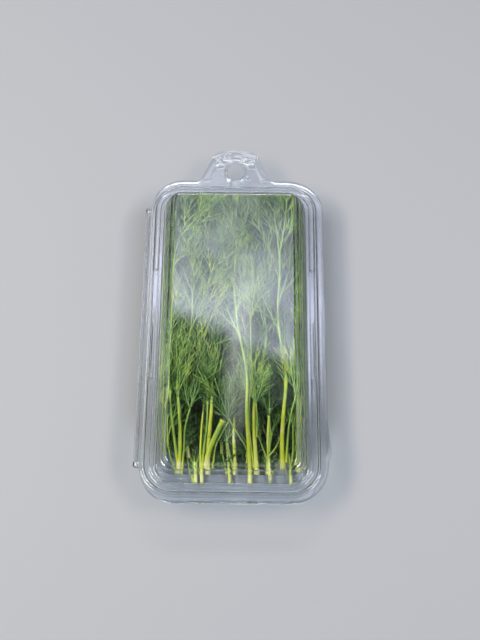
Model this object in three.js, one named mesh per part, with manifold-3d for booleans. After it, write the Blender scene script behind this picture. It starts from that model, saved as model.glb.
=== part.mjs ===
// A bunch of cut dill lying in its clear hinged pack: a thin formed tray and lid that fold on each other
// along the left long side, with a hang tab at the far end, and twenty cut sprigs packed between them.
// Millimetres. The origin is the middle of the pack's outline on the surface it lies on, +Z is up, +Y points
// at the hang tab, -Y at the cut stems and -X at the hinge.

import * as THREE from 'three';
import { LoftGeometry } from 'three/addons/geometries/LoftGeometry.js';
import { mergeVertices } from 'three/addons/utils/BufferGeometryUtils.js';
import Module from 'manifold-3d';

const wasm = await Module();
wasm.setup();

// ---- Driving dimensions ----

const SHEET = 0.6;             // thickness of the formed sheet
const GAP = 0.3;               // clearance where the lid lies on the tray
const FLANGE_WIDTH = 104;      // fold of the hinge to the free long edge
const FLANGE_LENGTH = 200;     // front edge to the edge that carries the hang tab
const FLANGE_CORNER = 21;      // outer corner radius, with every inner outline concentric to it
const HINGE_STRIP = 2.8;       // the flange proper stops this far short of the fold
const TRAY_DEPTH = 17.45;      // surface under the pack to the top of the tray's flange
const CORNER_STEPS = 6;        // facets in each quarter turn of a corner
const CURVE_STEPS = 8;         // facets in each curve of a flat outline
const ROUND_SIDES = 20;        // facets round a button
const CUT_OVER = 0.5;          // a cutter stands this far out of what it cuts
const WELD = 1e-4;             // points nearer than this are one

const LID_UNDER = TRAY_DEPTH + GAP;      // underside of the lid's flange
const LID_TOP = LID_UNDER + SHEET;       // upper side of the lid's flange
const TRAY_UNDER = TRAY_DEPTH - SHEET;   // underside of the tray's flange

// Outer skin of the tray from its base to the flange edge: [inset from the flange outline, height].
const TRAY_SKIN = [
  [15.4, 0],
  [13.9, 0.5],
  [13.3, 1.9],
  [11.4, TRAY_UNDER],
  [0, TRAY_UNDER],
];

// Outer skin of the lid from its top panel to the flange edge: [inset, height above the flange]. The wall
// comes down in three steps to a low shoulder, then a channel, a raised ridge and the flat rim.
const LID_SKIN = [
  [18, 14.4],
  [17.1, 14.0],
  [16.5, 13.1],
  [15.8, 11.2],
  [14.4, 10.6],
  [13.5, 7.8],
  [12.6, 7.1],
  [10.7, 1.7],
  [8.5, 1.6],
  [8.1, 0],
  [6.1, 0],
  [5.6, 1.4],
  [4.4, 1.4],
  [3.9, 0],
  [0, 0],
];

const LID_WALL_POINTS = 10;    // as many of them bound the hollow under the lid, and the ridge is solid

const HINGE = {
  length: 161, inner: -48.8, bead: 0.6, beadInset: [0.9, 2.4], beadProud: 0.1, beadShort: 1,
  beadSides: 10,
};
const FOLD_X = -FLANGE_WIDTH / 2;
const LOCK_BAR = { from: -30, to: 39, inner: 43.4, outer: 46.3, height: 1.5 };
const THUMB_LIP = { from: -78, peak: -71, to: -53, reach: 1.7, root: 2, easeIn: 3, easeOut: 8 };
const TAB = {
  base: 21.2, shoulderX: 14.4, shoulderY: 115, topY: 122, root: 97.5, heel: 0.4, lean: 2.2, drop: 2,
  crown: 0.8,
};
const HANG_HOLE = { y: 107.2, halfWidth: 4.7, halfLength: 6.5, ring: 2.1, ringHeight: 1.2 };
const CRESCENT = { y: 109.5, inner: 6.4, outer: 10.4, spread: 65, height: 1.4 };
const CRESCENT_NOTCH = { y: 117.6, width: 3.9, length: 2.4 };
const SNAP = {
  x: 8.9, y: 113.1, radius: 3.7, height: 1.9, taper: 0.8, nubFoot: 3.1, nubTop: 1.9, nubHeight: 0.9,
};

const STEM_LOW = 2.4;          // height of a stem's middle at its cut end
const RISE = [-84, -40];       // the stems climb from there to their layers between these
const DRIFT = [-42, 0];        // and move sideways into their lanes between these
const LAYER_FIRST = 2.7;       // height of the lowest layer of sprigs
const LAYER_STEP = 3.08;       // from one layer to the next
const STEM_SIDES = 6;
const STEM_STATIONS = 11;
const STEM_TAPER = 0.55;       // share of its radius that a stem has lost at its tip
const FROND = {
  first: -36, step: 14, length: 31, shortest: 9, thickness: 1.3, halfWidth: 3.6, widest: 0.6, stalk: 0.6,
  angle: 27, margin: 1.5,
};
const HALF_LANE = 36;          // the sprigs keep within this of the middle
const THIRD_LANE = 12;         // border between the lanes where three sprigs share a layer

// One row a sprig: cut end x and y, layer, lane, x in mid pack, x and y of the tip, stem radius.
const SPRIGS = [
  [-37.2, -62, 4, 'left third', -24, -25, 74, 1.0],
  [-33.4, -66, 1, 'left', -20, -17, 76, 1.2],
  [-29, -78, 8, 'left third', -24, -23, 70, 1.5],
  [-24.6, -70, 2, 'left', -18, -20, 79, 1.2],
  [-20.2, -84, 0, 'left', -18, -17, 77, 1.3],
  [-15.8, -84, 5, 'left', -19, -18, 75, 1.3],
  [-11.8, -79, 7, 'left', -18, -20, 76, 1.5],
  [-6.4, -68, 3, 'left', -18, -18, 78, 1.2],
  [-1.6, -84, 4, 'middle third', 0, 1, 77, 1.3],
  [2.2, -76, 6, 'left', -17, -19, 79, 1.3],
  [5.5, -66, 1, 'right', 18, 17, 75, 1.1],
  [9, -84, 8, 'middle third', 2, 0, 72, 1.5],
  [12.9, -78.5, 7, 'right', 18, 17, 77, 1.5],
  [16.8, -66, 3, 'right', 19, 19, 79, 1.2],
  [20.8, -82, 6, 'right', 18, 19, 74, 1.3],
  [24.6, -69, 2, 'right', 19, 18, 78, 1.2],
  [28.3, -76, 8, 'right third', 26, 24, 74, 1.5],
  [31.3, -84, 0, 'right', 19, 17, 76, 1.3],
  [34.1, -66, 5, 'right', 20, 20, 77, 1.0],
  [36.7, -76, 4, 'right third', 25, 24, 79, 0.9],
];

const LANES = {
  'left': [-HALF_LANE, 0],
  'right': [0, HALF_LANE],
  'left third': [-HALF_LANE, -THIRD_LANE],
  'middle third': [-THIRD_LANE, THIRD_LANE],
  'right third': [THIRD_LANE, HALF_LANE],
};

// ---- Materials ----

const clearSheet = new THREE.MeshStandardMaterial({
  color: 0xdfe8ee, roughness: 0.08, metalness: 0, transparent: true, opacity: 0.35,
});
const dillGreen = new THREE.MeshStandardMaterial({ color: 0x5f8f2c, roughness: 0.6, metalness: 0 });

// ---- Solids and meshes ----

// A closed three.js geometry as a solid that can be joined and cut.
function toSolid(geometry) {
  const bare = new THREE.BufferGeometry();
  bare.setAttribute('position', geometry.getAttribute('position'));
  bare.setIndex(geometry.index);
  const merged = mergeVertices(bare, WELD);
  return new wasm.Manifold(new wasm.Mesh({
    numProp: 3,
    vertProperties: merged.attributes.position.array,
    triVerts: new Uint32Array(merged.index.array),
  }));
}

function toGeometry(solid) {
  const shape = solid.getMesh();
  const geometry = new THREE.BufferGeometry();
  geometry.setAttribute('position', new THREE.BufferAttribute(shape.vertProperties, 3));
  geometry.setIndex(new THREE.BufferAttribute(shape.triVerts, 1));
  geometry.computeVertexNormals();
  return geometry;
}

function joined(solids) {
  return solids.reduce((whole, solid) => whole.add(solid));
}

function namedMesh(name, solid, material) {
  const mesh = new THREE.Mesh(toGeometry(solid), material);
  mesh.name = name;
  return mesh;
}

// A flat plate with the given outline, from one height to another.
function plate(outline, low, high) {
  const geometry = new THREE.ExtrudeGeometry(outline, {
    depth: high - low, bevelEnabled: false, curveSegments: CURVE_STEPS,
  });
  return toSolid(geometry.translate(0, 0, low));
}

function box(lowX, highX, lowY, highY, lowZ, highZ) {
  const geometry = new THREE.BoxGeometry(highX - lowX, highY - lowY, highZ - lowZ);
  return toSolid(geometry.translate((lowX + highX) / 2, (lowY + highY) / 2, (lowZ + highZ) / 2));
}

// An upright round frustum.
function frustum(x, y, low, high, lowRadius, highRadius) {
  const geometry = new THREE.CylinderGeometry(highRadius, lowRadius, high - low, ROUND_SIDES);
  return toSolid(geometry.rotateX(Math.PI / 2).translate(x, y, (low + high) / 2));
}

// ---- Thin shells: a skin profile carried round the pack's rounded rectangle ----

// One horizontal outline of the pack, counterclockwise from above, at an inset from the flange outline. On
// the hinge side the outline never comes nearer to the fold than the hinge strip's width.
function outlineRing(inset, height) {
  const centreX = FLANGE_WIDTH / 2 - FLANGE_CORNER;
  const centreY = FLANGE_LENGTH / 2 - FLANGE_CORNER;
  const corners = [[1, 1], [-1, 1], [-1, -1], [1, -1]];
  const radiusY = FLANGE_CORNER - inset;
  return corners.flatMap(([sideX, sideY], corner) => {
    const radiusX = FLANGE_CORNER - (sideX < 0 ? Math.max(inset, HINGE_STRIP) : inset);
    const points = [];
    for (let step = 0; step <= CORNER_STEPS; step++) {
      const angle = (corner + step / CORNER_STEPS) * Math.PI / 2;
      points.push(new THREE.Vector3(
        sideX * centreX + radiusX * Math.cos(angle),
        sideY * centreY + radiusY * Math.sin(angle),
        height,
      ));
    }
    return points;
  });
}

// The skin moved by a distance along its own normals, with mitred corners. The first point continues a level
// panel, and the last one ends a level rim.
function offsetSkin(skin, distance) {
  const directions = skin.slice(1).map(([inset, height], index) => {
    const along = new THREE.Vector2(skin[index][0] - inset, height - skin[index][1]);
    return along.normalize();
  });
  const level = new THREE.Vector2(1, 0);
  return skin.map(([inset, height], index) => {
    const before = directions[index - 1] ?? level;
    const after = directions[index] ?? level;
    const mitre = new THREE.Vector2(-before.y - after.y, before.x + after.x);
    mitre.multiplyScalar(distance / (1 + before.dot(after)));
    return [inset - mitre.x, height + mitre.y];
  });
}

// The solid inside a skin, closed level at both ends. A skin that goes down takes its outlines clockwise.
function loftSkin(skin) {
  const goesDown = skin.at(-1)[1] < skin[0][1];
  const sections = skin.map(([inset, height]) => {
    const ring = outlineRing(inset, height);
    return goesDown ? ring.reverse() : ring;
  });
  return toSolid(new LoftGeometry(sections, { capStart: true, capEnd: true }));
}

// The skin's solid down to the far side of its rim, less the cavity that lies one sheet inside the wall.
function shell(skin, wall, thickness) {
  const rim = [0, skin.at(-1)[1] + thickness];
  const cavity = offsetSkin(skin, thickness).slice(0, wall);
  const mouth = cavity.at(-1);
  const beyond = [mouth[0], mouth[1] + thickness];
  return loftSkin([...skin, rim]).subtract(loftSkin([...cavity, beyond]));
}

// ---- Hang tab, hinge strip, lock bars and thumb lip ----

// The tab's outline, from a root on the flange up sloping sides to rounded shoulders and a gently crowned top.
function tabOutline() {
  const { base, shoulderX, shoulderY, topY, root, heel, lean, drop, crown } = TAB;
  const heelY = FLANGE_LENGTH / 2 + heel;
  const outline = new THREE.Shape();
  outline.moveTo(-base, root);
  outline.lineTo(base, root);
  outline.lineTo(base, heelY);
  outline.lineTo(shoulderX, shoulderY);
  outline.quadraticCurveTo(shoulderX - lean, topY - drop, shoulderX / 2, topY - crown);
  outline.quadraticCurveTo(0, topY + crown, -shoulderX / 2, topY - crown);
  outline.quadraticCurveTo(lean - shoulderX, topY - drop, -shoulderX, shoulderY);
  outline.lineTo(-base, heelY);
  return outline;
}

// The upright slot that the pack hangs by, grown by a margin all round.
function slotOutline(margin) {
  const radius = HANG_HOLE.halfWidth + margin;
  const reach = HANG_HOLE.halfLength - HANG_HOLE.halfWidth;
  const outline = new THREE.Shape();
  outline.absarc(0, HANG_HOLE.y + reach, radius, 0, Math.PI);
  outline.absarc(0, HANG_HOLE.y - reach, radius, Math.PI, 2 * Math.PI);
  return outline;
}

function crescentOutline() {
  const half = THREE.MathUtils.degToRad(CRESCENT.spread);
  const outline = new THREE.Shape();
  outline.absarc(0, CRESCENT.y, CRESCENT.outer, Math.PI / 2 - half, Math.PI / 2 + half);
  outline.absarc(0, CRESCENT.y, CRESCENT.inner, Math.PI / 2 + half, Math.PI / 2 - half, true);
  return outline;
}

function trayTab() {
  const nubs = [-1, 1].map((side) => frustum(
    side * SNAP.x, SNAP.y, TRAY_UNDER, TRAY_DEPTH + SNAP.nubHeight, SNAP.nubFoot, SNAP.nubTop,
  ));
  return joined([plate(tabOutline(), TRAY_UNDER, TRAY_DEPTH), ...nubs]);
}

// The lid's half of the tab, with a raised ring round the slot, a notched crescent above it and two hollow
// buttons that snap over the tray's nubs.
function lidTab() {
  const ring = plate(slotOutline(HANG_HOLE.ring), LID_UNDER, LID_TOP + HANG_HOLE.ringHeight);
  const notch = box(
    -CRESCENT_NOTCH.width / 2, CRESCENT_NOTCH.width / 2,
    CRESCENT_NOTCH.y - CRESCENT_NOTCH.length / 2, CRESCENT_NOTCH.y + CRESCENT_NOTCH.length / 2,
    LID_TOP, LID_TOP + CRESCENT.height + CUT_OVER,
  );
  const crescent = plate(crescentOutline(), LID_UNDER, LID_TOP + CRESCENT.height).subtract(notch);
  const sides = [-1, 1];
  const top = LID_TOP + SNAP.height;
  const topRadius = SNAP.radius - SNAP.taper;
  const buttons = sides.map((side) => frustum(
    side * SNAP.x, SNAP.y, LID_UNDER, top, SNAP.radius, topRadius,
  ));
  const hollows = sides.map((side) => frustum(
    side * SNAP.x, SNAP.y, LID_UNDER - CUT_OVER, top - SHEET, SNAP.radius - SHEET, topRadius - SHEET,
  ));
  const body = plate(tabOutline(), LID_UNDER, LID_TOP);
  return joined([body, ring, crescent, ...buttons]).subtract(joined(hollows));
}

// The slot itself, as the solid to cut away between two heights.
function slotCut(low, high) {
  return plate(slotOutline(0), low - CUT_OVER, high + CUT_OVER);
}

// A level strip beside the fold with two long beads on one of its faces.
function hingeLeaf(low, high, beadHeight) {
  const half = HINGE.length / 2;
  const strip = box(FOLD_X + GAP / 2, HINGE.inner, -half, half, low, high);
  const beadLength = HINGE.length - HINGE.beadShort;
  const beads = HINGE.beadInset.map((inset) => {
    const bead = new THREE.CylinderGeometry(HINGE.bead, HINGE.bead, beadLength, HINGE.beadSides);
    return toSolid(bead.translate(FOLD_X + inset, 0, beadHeight));
  });
  return joined([strip, ...beads]);
}

// Solid bars that bridge the channel on both long sides, where the lid grips the tray.
function lockBars() {
  const low = LID_TOP - SHEET / 2;
  const high = LID_TOP + LOCK_BAR.height;
  return joined([
    box(LOCK_BAR.inner, LOCK_BAR.outer, LOCK_BAR.from, LOCK_BAR.to, low, high),
    box(-LOCK_BAR.outer, -LOCK_BAR.inner, LOCK_BAR.from, LOCK_BAR.to, low, high),
  ]);
}

// A shallow lip on the lid's free long edge, to lift it by.
function thumbLip() {
  const { from, peak, to, reach, root, easeIn, easeOut } = THUMB_LIP;
  const edge = FLANGE_WIDTH / 2;
  const outline = new THREE.Shape();
  outline.moveTo(edge - root, from);
  outline.lineTo(edge, from);
  outline.quadraticCurveTo(edge + reach, from + easeIn, edge + reach, peak);
  outline.quadraticCurveTo(edge + reach, peak + easeOut, edge, to);
  outline.lineTo(edge - root, to);
  return plate(outline, LID_UNDER, LID_TOP);
}

function tray() {
  const whole = joined([
    shell(TRAY_SKIN, TRAY_SKIN.length - 1, SHEET),
    trayTab(),
    hingeLeaf(TRAY_UNDER, TRAY_DEPTH, TRAY_UNDER - HINGE.beadProud),
  ]);
  return whole.subtract(slotCut(TRAY_UNDER, TRAY_DEPTH));
}

function lid() {
  const skin = LID_SKIN.map(([inset, height]) => [inset, height + LID_TOP]);
  const whole = joined([
    shell(skin, LID_WALL_POINTS, -SHEET),
    lidTab(),
    hingeLeaf(LID_UNDER, LID_TOP, LID_TOP + HINGE.beadProud),
    lockBars(),
    thumbLip(),
  ]);
  return whole.subtract(slotCut(LID_UNDER, LID_TOP + HANG_HOLE.ringHeight));
}

// ---- Dill sprigs ----

// The middle of a sprig's stem at a distance y along the pack: low at the cut end, then up to its layer and
// sideways into its lane, and on to the tip.
function stemPoint([cutX, , layer, , midX, tipX, tipY], y) {
  const { smoothstep, lerp } = THREE.MathUtils;
  const layerHeight = LAYER_FIRST + layer * LAYER_STEP;
  const laneX = lerp(cutX, midX, smoothstep(y, ...DRIFT));
  return new THREE.Vector3(
    lerp(laneX, tipX, smoothstep(y, DRIFT[1], tipY) * smoothstep(y, ...DRIFT)),
    y,
    lerp(STEM_LOW, layerHeight, smoothstep(y, ...RISE)),
  );
}

function stem(row) {
  const [, cutY, , , , , tipY, radius] = row;
  const sections = [];
  for (let station = 0; station <= STEM_STATIONS; station++) {
    const along = station / STEM_STATIONS;
    const middle = stemPoint(row, THREE.MathUtils.lerp(cutY, tipY, along));
    const reach = radius * (1 - STEM_TAPER * along);
    const section = [];
    for (let side = 0; side < STEM_SIDES; side++) {
      const angle = side / STEM_SIDES * 2 * Math.PI;
      section.push(new THREE.Vector3(-reach * Math.cos(angle), 0, reach * Math.sin(angle)).add(middle));
    }
    sections.push(section);
  }
  return toSolid(new LoftGeometry(sections, { capStart: true, capEnd: true }));
}

// A flat leaf-shaped blade, for one feathery leaf.
function frond(length, base, turn) {
  const outline = new THREE.Shape();
  const halfWidth = FROND.halfWidth * length / FROND.length;
  outline.moveTo(0, -FROND.stalk);
  outline.lineTo(FROND.widest * length, -halfWidth);
  outline.lineTo(length, 0);
  outline.lineTo(FROND.widest * length, halfWidth);
  outline.lineTo(0, FROND.stalk);
  const geometry = new THREE.ExtrudeGeometry(outline, { depth: FROND.thickness, bevelEnabled: false });
  geometry.translate(0, 0, -FROND.thickness / 2);
  return toSolid(geometry.rotateZ(turn).translate(base.x, base.y, base.z));
}

// Leaves leave the stem by turns to the left and the right, each as long as its lane has room for.
function fronds(row) {
  const [lowX, highX] = LANES[row[3]];
  const tipY = row[6];
  const angle = THREE.MathUtils.degToRad(FROND.angle);
  const blades = [];
  let side = row[0] < 0 ? 1 : -1;
  for (let y = FROND.first; y < tipY - FROND.step; y += FROND.step) {
    const base = stemPoint(row, y);
    const room = side < 0 ? base.x - lowX : highX - base.x;
    const ahead = (tipY - y) / Math.cos(angle);
    const length = Math.min(FROND.length, ahead, (room - FROND.margin) / Math.sin(angle) - FROND.halfWidth);
    if (length > FROND.shortest) {
      blades.push(frond(length, base, Math.PI / 2 - side * angle));
    }
    side = -side;
  }
  return blades;
}

function sprig(row) {
  return joined([stem(row), ...fronds(row)]);
}

// ---- The whole pack ----

const pack = new THREE.Group();
pack.add(namedMesh('tray', tray(), clearSheet));
pack.add(namedMesh('lid', lid(), clearSheet));
SPRIGS.forEach((row, index) => {
  const number = String(index + 1).padStart(2, '0');
  pack.add(namedMesh(`sprig_${number}`, sprig(row), dillGreen));
});

export default pack;
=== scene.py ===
"""The looks of a bunch of cut dill in its clear hinged pack.

The tray and lid are thin swept sheets with rounded folds, joined by a film at the hinge. Each of the twenty
sprigs is one piece: a grooved main stem, the stalks that share its base, and feathery leaves of fine threads.
Shapes are worked out in millimetres in the pack's frame, and make_mesh turns them into metres.
"""

import math

import bmesh
import bpy
import numpy as np
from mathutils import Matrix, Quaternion, Vector


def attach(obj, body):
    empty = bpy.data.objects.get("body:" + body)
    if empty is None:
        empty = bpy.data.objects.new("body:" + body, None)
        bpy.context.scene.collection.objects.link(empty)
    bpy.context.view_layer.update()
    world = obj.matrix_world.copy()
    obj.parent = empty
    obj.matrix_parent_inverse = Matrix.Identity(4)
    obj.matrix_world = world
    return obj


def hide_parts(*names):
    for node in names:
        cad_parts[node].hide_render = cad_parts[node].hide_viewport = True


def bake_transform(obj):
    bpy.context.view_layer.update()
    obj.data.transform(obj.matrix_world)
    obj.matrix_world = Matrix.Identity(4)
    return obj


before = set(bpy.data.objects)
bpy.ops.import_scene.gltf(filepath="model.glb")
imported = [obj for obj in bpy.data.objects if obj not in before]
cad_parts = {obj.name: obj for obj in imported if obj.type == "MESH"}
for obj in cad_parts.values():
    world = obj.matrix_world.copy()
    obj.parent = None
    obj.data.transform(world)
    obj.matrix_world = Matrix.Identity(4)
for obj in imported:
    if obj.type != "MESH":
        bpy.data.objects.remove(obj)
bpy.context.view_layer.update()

MM = 0.001
SEED = 100  # a sprig's random numbers start from this plus the sprig's own

# ---- The pack's dimensions, in millimetres ----

SHEET = 0.4  # wall of the formed sheet
HALF_WIDTH = 52
HALF_LENGTH = 100
CORNER = 21  # outer corner radius, with every other outline concentric to it
LID_TOP = 18.35  # upper side of the lid's flange
TRAY_UNDER = 16.85  # underside of the tray's flange
HINGE_STRIP = 2.8  # the flange proper stops this far short of the fold
RIM = 10  # the lock bars and the tab's ring lie within this inset
FOLD = 0.55  # radius of the folds in the sheet
FOLD_SHARE = 0.42  # a fold takes no more than this share of an edge
HOLD = 0.12  # the row that keeps a face flat lies this far past a fold
EDGE_ROUND = 0.09  # radius of the sheet's cut edges
WELD = 0.004  # points of neighbouring grids this close are joined
CORNER_COLUMNS = 15  # columns round a quarter turn

# Outer skins from the middle of the pack to the flange's edge: [inset from the flange's outline, height].
LID_SKIN = np.array([
    [20, 14.4], [18, 14.4], [17.1, 14.0], [16.5, 13.1], [15.8, 11.2], [14.4, 10.6], [13.5, 7.8], [12.6, 7.1],
    [10.7, 1.7], [8.5, 1.6], [8.1, 0], [6.1, 0], [5.6, 1.4], [4.4, 1.4], [3.9, 0], [0, 0],
]) + [0, LID_TOP]
TRAY_SKIN = np.array([
    [20, 0], [15.4, 0], [13.9, 0.5], [13.3, 1.9], [11.4, TRAY_UNDER], [5.8, TRAY_UNDER], [5.4, 17.4],
    [4.6, 17.4], [4.2, TRAY_UNDER], [0, TRAY_UNDER],
])
# The hollow's side, before the sheet's thickness is taken off: [inset, height].
HOLLOW = np.array([
    [15.3, 0.5], [14.2, 0.95], [13.45, 1.9], [11.45, 16.85], [10.9, 18], [10.9, 20.3], [12.75, 25.0],
    [13.8, 25.75], [14.6, 28.3], [16.0, 29.0], [16.7, 31.3], [17.6, 32.3],
])

# Raised parts have a height, a half width or radius, and a soft slope of this width round them.
HINGE = {"half": 80.5, "edge": 51.85, "bead": 0.6, "insets": (0.9, 2.19), "gap": 0.8, "soft": 1.2, "rows": 25}
FILM = {"height": 17.6, "outer": 0.6, "inner": 0.35, "gap": 0.6, "round": 17, "rows": 41}
LOCK_BAR = {"low": -30, "high": 39, "inset": 7.15, "half": 1.45, "height": 1.5, "soft": 0.5}
LATCH = {"low": -27.6, "high": 5, "inset": 6.6, "half": 0.7, "height": 0.45, "soft": 0.5}
BAR_END_SOFT = 0.6
THUMB = {"low": -78, "peak": -71, "high": -53, "reach": 1.7, "inset": 3.9}
TAB = {"base": 21.2, "shoulder_x": 14.4, "shoulder_y": 115, "top": 122, "start": HALF_LENGTH - 3}
TAB_POINTS = {"base": 49, "side": 20, "top": 33, "rings": 27}
SLOT = {"y": 107.2, "radius": 4.7, "reach": 1.8}
RING = {"away": 1.05, "half": 0.75, "height": 0.9, "soft": 0.6}
CRESCENT = {"y": 109.5, "radius": 8.4, "half": 1.9, "spread": math.radians(65), "height": 0.8, "soft": 0.6}
CRESCENT_END_SOFT = 0.8
NOTCH = {"y": 117.6, "half_width": 1.95, "half_length": 1.2, "soft": 0.5}
BUTTON = {"x": 8.9, "y": 113.1, "half": 3.3, "height": 1.3, "soft": 0.9}
DIMPLE = {"half": 1.5, "height": 0.6, "soft": 0.7}
NUB = {"half": 2.2, "height": 1.1, "soft": 0.9}
BORDER = {"inset": 2.75, "half": 1.85, "height": 0.45, "soft": 0.7}
BORDER_START = (HALF_LENGTH + 0.2, HALF_LENGTH + 1.2)
PIP = {"half": 0.55, "height": 0.5, "soft": 0.5}
PIP_PLACES = ((7.5, 101.6), (17.6, 101.5))

# ---- The dill's dimensions, in millimetres ----

STEM_LOW = 2.4  # height of a stem's middle at its cut end
RISE = (-84, -40)  # the stems climb from there to their layers between these
DRIFT = (-42, 0)  # and move sideways into their lanes between these
SWAY = {"reach": 1.1, "run": 11, "start": 1.7}  # a stem wavers by the sine of its length over the run
LAYER_FIRST = 2.7
LAYER_STEP = 3.08
NODE_FIRST = -36  # the first leaf of a main stem, with the next ones each a step on
NODE_STEP = 16
NODE_CLEAR = 9  # and never nearer the cut end than this
DEEP_BELOW = {"layer": 6, "by": 26}  # up to this layer the first leaf is that much nearer
LONG_BARE = {12: -9, 6: -20}  # the first leaf of the stems that stay bare for longer
WALL_CLEAR = 0.12  # the dill stays this far inside the sheet
SQUEEZE = 1.4  # threads that reach this close to a wall are pressed along it
TOP_SQUEEZE = 1.2  # and this close to the lid's panel
FAR_END = 90  # leaves grow as far as this
BASE_ROW = -75  # the stems cut nearer than this carry small leaves near their cut ends

# One row a sprig: x and y of the cut end, layer, x in mid pack, x and y of the tip, stem radius.
SPRIGS = (
    (-37.2, -62, 4, -24, -25, 74, 0.8),
    (-33.4, -66, 1, -20, -17, 76, 0.9),
    (-29, -78, 8, -24, -23, 70, 1.1),
    (-24.6, -70, 2, -18, -20, 79, 0.9),
    (-20.2, -84, 0, -18, -17, 77, 0.9),
    (-15.8, -84, 5, -19, -18, 75, 1.0),
    (-11.8, -79, 7, -18, -20, 76, 1.35),
    (-6.4, -68, 3, -18, -18, 78, 0.9),
    (-1.6, -84, 4, 0, 1, 77, 0.9),
    (2.2, -76, 6, -17, -19, 79, 1.0),
    (5.5, -66, 1, 18, 17, 75, 0.9),
    (9, -84, 9.1, 2, 0, 72, 1.3),
    (12.9, -78.5, 7.6, 18, 17, 77, 1.4),
    (16.8, -66, 3, 19, 19, 79, 0.9),
    (20.8, -82, 6, 18, 19, 74, 1.0),
    (24.6, -69, 2, 19, 18, 78, 0.9),
    (28.3, -76, 8.6, 26, 24, 74, 1.45),
    (31.3, -84, 0, 19, 17, 76, 0.9),
    (34.1, -66, 5, 20, 20, 77, 0.8),
    (36.7, -76, 4, 25, 24, 79, 0.8),
)

# Stalks that share a sprig's base: sprig, layer, radius at the base, the points they pass, length of their
# leaves (0 for a stalk cut off short), and the share of the stalk that is bare before its first leaf.
STALKS = (
    (1, 5.0, 0.5, ((-37.6, -66), (-38, -52), (-37.4, -38)), 34, 1),
    (1, 6.5, 0.45, ((-36.6, -70), (-37.2, -56), (-36.8, -44)), 38, 1),
    (1, 9.2, 0.55, ((-36, -50), (-36.5, -10), (-34.5, 30), (-32, 50), (-26.5, 65), (-18, 73), (-6, 81)), 30,
     0.1),
    (3, 7.2, 0.6, ((-29.6, -78.9), (-33.4, -70), (-34.9, -60)), 34, 1),
    (3, 8.0, 0.95, ((-28.8, -77), (-31, -63), (-33, -49), (-33.4, -40)), 40, 1),
    (3, 8.2, 0.8, ((-28.4, -78), (-28.5, -62), (-28, -51), (-29, -44)), 36, 1),
    (3, 7.6, 0.7, ((-27.2, -79), (-25.8, -66), (-25.3, -58), (-22.6, -49)), 34, 1),
    (5, 3.0, 0.55, ((-20.4, -83), (-19.6, -77), (-17.4, -67.6)), 22, 1),
    (5, 2.0, 0.45, ((-20.6, -83), (-23, -76), (-24.6, -68)), 24, 1),
    (5, 1.5, 0.4, ((-20.4, -80), (-19, -74), (-13.6, -70)), 16, 1),
    (6, 6.6, 0.9, ((-16.4, -79), (-15, -66), (-13.5, -56), (-13.2, -44)), 34, 1),
    (7, 7.4, 1.5, ((-13.9, -76), (-12.4, -68), (-7.2, -58), (-4.8, -54)), 0, 1),
    (7, 7.8, 0.55, ((-10.4, -76), (-8.6, -66), (-5.8, -61), (-1.8, -55)), 30, 1),
    (7, 7.9, 0.45, ((-16, -26), (-13, -10), (-9.5, 6), (-7.5, 26)), 30, 0),
    (7, 6.6, 0.45, ((-12, -38), (-8, -26), (-4.5, -12), (-3.5, 6)), 28, 0),
    (9, 5.4, 0.5, ((-1.8, -80), (-4.4, -71), (-6.4, -62)), 26, 1),
    (9, 2.0, 0.4, ((-1.4, -80), (-3.4, -76), (-7.6, -71)), 18, 1),
    (10, 6.8, 1.0, ((2.4, -79.5), (1, -75.5), (-0.9, -70), (-2.6, -64)), 26, 1),
    (10, 6.4, 0.5, ((1.2, -76), (2.2, -69), (1.8, -62)), 26, 1),
    (10, 8.3, 0.45, ((-16, -8), (-11, 8), (-7, 26), (-6, 46)), 30, 0),
    (12, 8.3, 0.6, ((8.4, -74), (8, -67), (3.6, -61), (-1.7, -54)), 30, 1),
    (12, 7.4, 0.5, ((8.2, -70), (8.7, -62), (7.6, -54), (8.3, -46)), 30, 1),
    (13, 8.6, 0.6, ((12.2, -76), (10.7, -67), (9.1, -55), (9.7, -40), (10.3, -26), (9.9, -10), (9.6, 4)), 34,
     1),
    (13, 8.6, 0.5, ((13.4, -62), (13.6, -54), (13.0, -47)), 26, 1),
    (15, 6.6, 0.75, ((19.3, -78), (20.1, -69), (21.8, -59)), 32, 1),
    (15, 7.6, 0.5, ((20.4, -68), (20.9, -60), (20.3, -52)), 28, 1),
    (15, 6.6, 0.55, ((20, -70), (24.4, -65), (28.4, -56)), 30, 1),
    (15, 6.2, 0.5, ((19.8, -72), (17, -66), (14.2, -60)), 26, 1),
    (15, 2.5, 0.4, ((20.6, -79), (23.6, -76), (26.8, -70)), 18, 1),
    (17, 8.2, 0.7, ((29.6, -73), (31, -56), (34.4, -42)), 36, 1),
    (17, 7.4, 0.6, ((31.6, -79), (33.2, -68), (33, -56)), 34, 1),
    (18, 2.0, 0.4, ((31, -80), (29, -75), (25, -70)), 18, 1),
    (20, 5.6, 0.8, ((36, -77), (37.4, -68), (38.2, -58)), 30, 1),
    (20, 4.2, 0.5, ((36.8, -76), (38.4, -60), (38.2, -48)), 30, 1),
    (20, 7.4, 0.55, ((35.5, -56), (36, -10), (35, 35), (33, 62)), 34, 0.1),
)
LEAF_GAP = 12  # between the leaves of a stalk that isn't bare
UPRIGHT = 0.7  # pull of a stalk's leaves towards the far end, in parts of the stalk's own way
FINE_LAYERS = (1, 6)  # leaves fork up to the first and from the second of these layers

STEM_LEAF = {"turn": (9, 25), "length": (42, 56), "least": 14}
# Their rise for each step: past a place it grows with the layer's depth, short of it the top ones sink.
LEAF_RISE = {"past": -12, "from": 3.5, "top": 8, "least": 0.05, "step": 0.06, "near": -0.12, "near_from": 7}
# The leaves that fan out at a stalk's tip, and those along it: turns in degrees, and shares of the length.
FAN = {"turns": [0, 17, -17], "shares": [1.0, 0.75, 0.75], "side_turn": 24, "spread": 4, "least": 10}

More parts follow.
